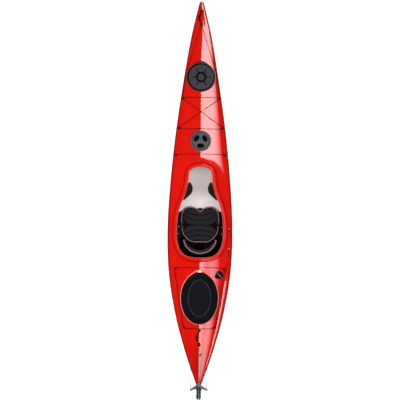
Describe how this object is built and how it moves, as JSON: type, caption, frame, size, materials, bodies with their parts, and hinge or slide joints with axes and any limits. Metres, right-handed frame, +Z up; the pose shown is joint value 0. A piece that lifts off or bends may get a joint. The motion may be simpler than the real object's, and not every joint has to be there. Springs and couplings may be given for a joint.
{
  "type": "sea kayak",
  "caption": "Short rigid touring kayak with a peaked deck, keyhole cockpit, padded seat, lidded hatches, carry handles, deck lines and a stern rudder that lifts and steers.",
  "frame": {"origin": "on the floor under the middle of the boat's length, on its centre plane; the keel rests at Z = 0", "axes": "+Y towards the bow, +X to starboard (the picture's right), +Z up"},
  "size_m": [0.6226, 3.8, 0.4089],
  "materials": {
    "deck_red": "gloss gelcoat",
    "hull_pale": "semi-gloss",
    "seam_black": "satin",
    "lid_grey": "matte",
    "lid_black": "matte",
    "day_grey": "satin",
    "plastic_black": "satin",
    "foam_grey": "closed-cell foam, matte",
    "foam_black": "closed-cell foam, matte",
    "fabric_black": "quilted, matte",
    "cord_dark": "braided, matte",
    "steel": "satin",
    "aluminium": "anodised, satin"
  },
  "bodies": {
    "boat": {"deck": "deck_red", "cockpit_coaming": "deck_red", "bow_hatch_rim": "deck_red", "stern_hatch_rim": "deck_red", "hull": "hull_pale", "seam_strip": "seam_black", "day_hatch_rim": "day_grey", "day_hatch_pod": "plastic_black", "seat_pan": "plastic_black", "front_fitting_1_left": "plastic_black", "front_fitting_1_right": "plastic_black", "front_fitting_2_left": "plastic_black", "front_fitting_2_right": "plastic_black", "front_fitting_3_left": "plastic_black", "front_fitting_3_right": "plastic_black", "aft_fitting_1_left": "plastic_black", "aft_fitting_1_right": "plastic_black", "aft_fitting_2_left": "plastic_black", "aft_fitting_2_right": "plastic_black", "bow_handle_fitting_1": "plastic_black", "bow_handle_fitting_2": "plastic_black", "stern_handle_fitting_1": "plastic_black", "stern_handle_fitting_2": "plastic_black", "lift_track": "plastic_black", "stern_bracket": "plastic_black", "cable_outlet_left": "plastic_black", "cable_outlet_right": "plastic_black", "front_bulkhead": "foam_grey", "rear_bulkhead": "foam_grey", "hip_pad_left": "foam_black", "hip_pad_right": "foam_black", "thigh_brace_left": "foam_black", "thigh_brace_right": "foam_black", "blade_rest": "foam_black", "seat_cushion": "fabric_black", "front_bungee": "cord_dark", "knee_deck_line": "cord_dark", "aft_deck_line": "cord_dark", "bow_deck_line": "cord_dark", "lift_line": "cord_dark", "security_bar": "steel", "rudder_cable_left": "steel", "rudder_cable_right": "steel", "foot_rail_left": "aluminium", "foot_rail_right": "aluminium"},
    "bow_lid": {"bow_hatch_lid": "lid_grey"},
    "day_lid": {"day_hatch_lid": "day_grey"},
    "stern_lid": {"stern_hatch_lid": "lid_black"},
    "backrest": {"backrest_frame": "plastic_black", "backrest_pad": "fabric_black"},
    "carriage_left": {"foot_carriage_left": "plastic_black"},
    "carriage_right": {"foot_carriage_right": "plastic_black"},
    "pedal_left": {"foot_pedal_left": "plastic_black"},
    "pedal_right": {"foot_pedal_right": "plastic_black"},
    "bow_handle": {"bow_handle": "plastic_black"},
    "stern_handle": {"stern_handle": "plastic_black"},
    "lift_knob": {"lift_knob": "plastic_black"},
    "rudder": {"rudder_head": "plastic_black", "rudder_yoke": "aluminium"},
    "blade": {"rudder_blade": "aluminium"}
  },
  "joints": [
    {"name": "bow_lid_lift", "type": "slide", "parent": "boat", "child": "bow_lid", "axis": [0, 0, 1], "range_m": [0, 0.08]},
    {"name": "day_lid_lift", "type": "slide", "parent": "boat", "child": "day_lid", "axis": [0, 0, 1], "range_m": [0, 0.06]},
    {"name": "stern_lid_lift", "type": "slide", "parent": "boat", "child": "stern_lid", "axis": [0, 0, 1], "range_m": [0, 0.08]},
    {"name": "backrest_fold", "type": "hinge", "parent": "boat", "child": "backrest", "pos_m": [0, -0.414, 0.064], "axis": [1, 0, 0], "range_deg": [-40, 0]},
    {"name": "foot_slide_left", "type": "slide", "parent": "boat", "child": "carriage_left", "axis": [0.1162, 0.9932, 0], "range_m": [-0.2, 0.12]},
    {"name": "foot_slide_right", "type": "slide", "parent": "boat", "child": "carriage_right", "axis": [-0.1162, 0.9932, 0], "range_m": [-0.2, 0.12]},
    {"name": "pedal_tilt_left", "type": "hinge", "parent": "carriage_left", "child": "pedal_left", "pos_m": [-0.1711, 0.64, 0.118], "axis": [1, 0, 0], "range_deg": [-20, 20]},
    {"name": "pedal_tilt_right", "type": "hinge", "parent": "carriage_right", "child": "pedal_right", "pos_m": [0.1711, 0.64, 0.118], "axis": [1, 0, 0], "range_deg": [-20, 20]},
    {"name": "bow_handle_swing", "type": "hinge", "parent": "boat", "child": "bow_handle", "pos_m": [0, 1.741, 0.3444], "axis": [0, 1, 0], "range_deg": [0, 180]},
    {"name": "stern_handle_swing", "type": "hinge", "parent": "boat", "child": "stern_handle", "pos_m": [0, -1.308, 0.2978], "axis": [0, 1, 0], "range_deg": [0, 180]},
    {"name": "rudder_steer", "type": "hinge", "parent": "boat", "child": "rudder", "pos_m": [0, -1.792, 0.3], "axis": [0, 0, 1], "range_deg": [-35, 35], "deforming": ["rudder_cable_left", "rudder_cable_right"]},
    {"name": "blade_lift", "type": "hinge", "parent": "rudder", "child": "blade", "pos_m": [0, -1.858, 0.3673], "axis": [1, 0, 0], "range_deg": [0, 262]},
    {"name": "lift_knob_slide", "type": "slide", "parent": "boat", "child": "lift_knob", "axis": [0, -0.9999, -0.0123], "range_m": [0, 0.16]}
  ],
  "couplings": [
    {"joint": "pedal_tilt_left", "follows": "rudder_steer", "ratio": 0.55},
    {"joint": "pedal_tilt_right", "follows": "rudder_steer", "ratio": -0.55},
    {"joint": "lift_knob_slide", "follows": "blade_lift", "m_per_rad": 0.0349}
  ]
}
